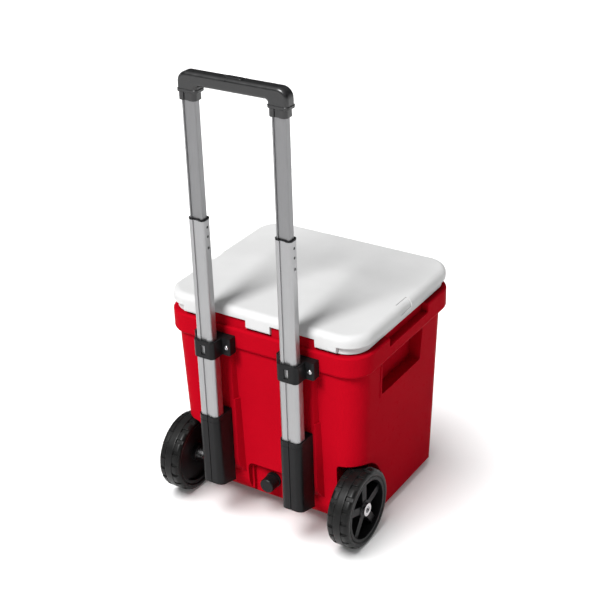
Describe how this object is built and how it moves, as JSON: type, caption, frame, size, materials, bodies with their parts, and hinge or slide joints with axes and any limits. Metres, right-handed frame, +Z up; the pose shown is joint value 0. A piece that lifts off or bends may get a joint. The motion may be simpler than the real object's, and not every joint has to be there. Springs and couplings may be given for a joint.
{
  "type": "wheeled cooler",
  "caption": "Insulated hard cooler on two rear wheels, with a hinged latched lid, side grab pockets, screw-in drain plug and a telescopic tow handle.",
  "frame": {"origin": "on the floor under the middle of the overall box, handle pulled out", "axes": "+Z up, +X across the cooler along the wheel axis, -Y towards the side with the handle and the wheels"},
  "size_m": [0.476, 0.4862, 0.9985],
  "materials": {
    "red_plastic": "semi-gloss moulded polyethylene",
    "white_plastic": "semi-gloss moulded polyethylene",
    "liner_plastic": "smooth moulded polyethylene",
    "foam": "rigid insulating foam",
    "black_plastic": "satin moulded nylon",
    "grip_plastic": "satin soft-touch plastic",
    "anodised_aluminium": "satin anodised",
    "zinc_steel": "bright zinc plated",
    "spring_steel": "bright",
    "tyre_rubber": "matte",
    "seal_rubber": "matte",
    "foot_rubber": "matte"
  },
  "bodies": {
    "tub": {"tub_shell": "red_plastic", "tub_foam": "foam", "tub_liner": "liner_plastic", "front_feet": "foot_rubber", "foot_screws": "zinc_steel", "drain_bushing": "black_plastic", "drain_nut": "black_plastic", "tube_clamp_left": "black_plastic", "tube_clamp_right": "black_plastic", "clamp_screws": "zinc_steel", "tube_socket_left": "black_plastic", "tube_socket_right": "black_plastic", "socket_screws": "zinc_steel", "outer_tube_left": "anodised_aluminium", "outer_tube_right": "anodised_aluminium", "hinge_pins": "zinc_steel", "axle_left": "zinc_steel", "axle_right": "zinc_steel", "axle_clip_left": "zinc_steel", "axle_clip_right": "zinc_steel"},
    "lid": {"lid_shell": "white_plastic", "lid_liner": "liner_plastic", "lid_foam": "foam", "lid_gasket": "seal_rubber", "latch_pins": "zinc_steel"},
    "latch_left": {"latch_left": "black_plastic"},
    "latch_right": {"latch_right": "black_plastic"},
    "handle_middle": {"middle_tube_left": "anodised_aluminium", "middle_tube_right": "anodised_aluminium", "middle_bushings": "black_plastic", "middle_glides": "black_plastic"},
    "handle_upper": {"inner_tube_left": "anodised_aluminium", "inner_tube_right": "anodised_aluminium", "grip_body": "grip_plastic", "grip_cover": "grip_plastic", "grip_screws": "zinc_steel", "lock_housings": "black_plastic", "button_springs": "spring_steel"},
    "release": {"release_button": "grip_plastic", "button_bar": "grip_plastic", "push_rods": "zinc_steel"},
    "lock_pin_left": {"lock_pin_left": "zinc_steel"},
    "lock_pin_right": {"lock_pin_right": "zinc_steel"},
    "wheel_left": {"tyre_left": "tyre_rubber", "wheel_hub_left": "black_plastic", "wheel_bushes_left": "black_plastic"},
    "wheel_right": {"tyre_right": "tyre_rubber", "wheel_hub_right": "black_plastic", "wheel_bushes_right": "black_plastic"},
    "drain_seal": {"drain_seal": "seal_rubber"},
    "drain_plug": {"drain_plug": "black_plastic"}
  },
  "joints": [
    {"name": "lid_hinge", "type": "hinge", "parent": "tub", "child": "lid", "pos_m": [0, -0.168, 0.464], "axis": [1, 0, 0], "range_deg": [0, 91]},
    {"name": "latch_left_hinge", "type": "hinge", "parent": "lid", "child": "latch_left", "pos_m": [-0.118, 0.232, 0.474], "axis": [1, 0, 0], "range_deg": [-4, 75]},
    {"name": "latch_right_hinge", "type": "hinge", "parent": "lid", "child": "latch_right", "pos_m": [0.118, 0.232, 0.474], "axis": [1, 0, 0], "range_deg": [-4, 75]},
    {"name": "middle_slide", "type": "slide", "parent": "tub", "child": "handle_middle", "axis": [0, 0, 1], "range_m": [-0.265, 0]},
    {"name": "upper_slide", "type": "slide", "parent": "handle_middle", "child": "handle_upper", "axis": [0, 0, 1], "range_m": [-0.24, 0]},
    {"name": "button_press", "type": "slide", "parent": "handle_upper", "child": "release", "axis": [0, 0, -1], "range_m": [0, 0.0035], "stiffness_N_per_m": 600, "springref_m": -0.004, "deforming": ["button_springs"]},
    {"name": "lock_pin_left_slide", "type": "slide", "parent": "handle_upper", "child": "lock_pin_left", "axis": [1, 0, 0], "range_m": [0, 0.003]},
    {"name": "lock_pin_right_slide", "type": "slide", "parent": "handle_upper", "child": "lock_pin_right", "axis": [-1, 0, 0], "range_m": [0, 0.003]},
    {"name": "wheel_left_spin", "type": "hinge", "parent": "tub", "child": "wheel_left", "pos_m": [-0.2125, -0.157, 0.086], "axis": [1, 0, 0], "continuous": true},
    {"name": "wheel_right_spin", "type": "hinge", "parent": "tub", "child": "wheel_right", "pos_m": [0.2125, -0.157, 0.086], "axis": [1, 0, 0], "continuous": true},
    {"name": "drain_unscrew", "type": "slide", "parent": "tub", "child": "drain_seal", "axis": [0, -1, 0], "range_m": [0, 0.024]},
    {"name": "drain_turn", "type": "hinge", "parent": "drain_seal", "child": "drain_plug", "pos_m": [0, -0.17, 0.074], "axis": [0, -1, 0], "range_deg": [0, 1441]}
  ],
  "couplings": [
    {"joint": "lock_pin_left_slide", "follows": "button_press", "ratio": 0.857},
    {"joint": "lock_pin_right_slide", "follows": "button_press", "ratio": 0.857},
    {"joint": "drain_turn", "follows": "drain_unscrew", "rad_per_m": 1047.2}
  ]
}
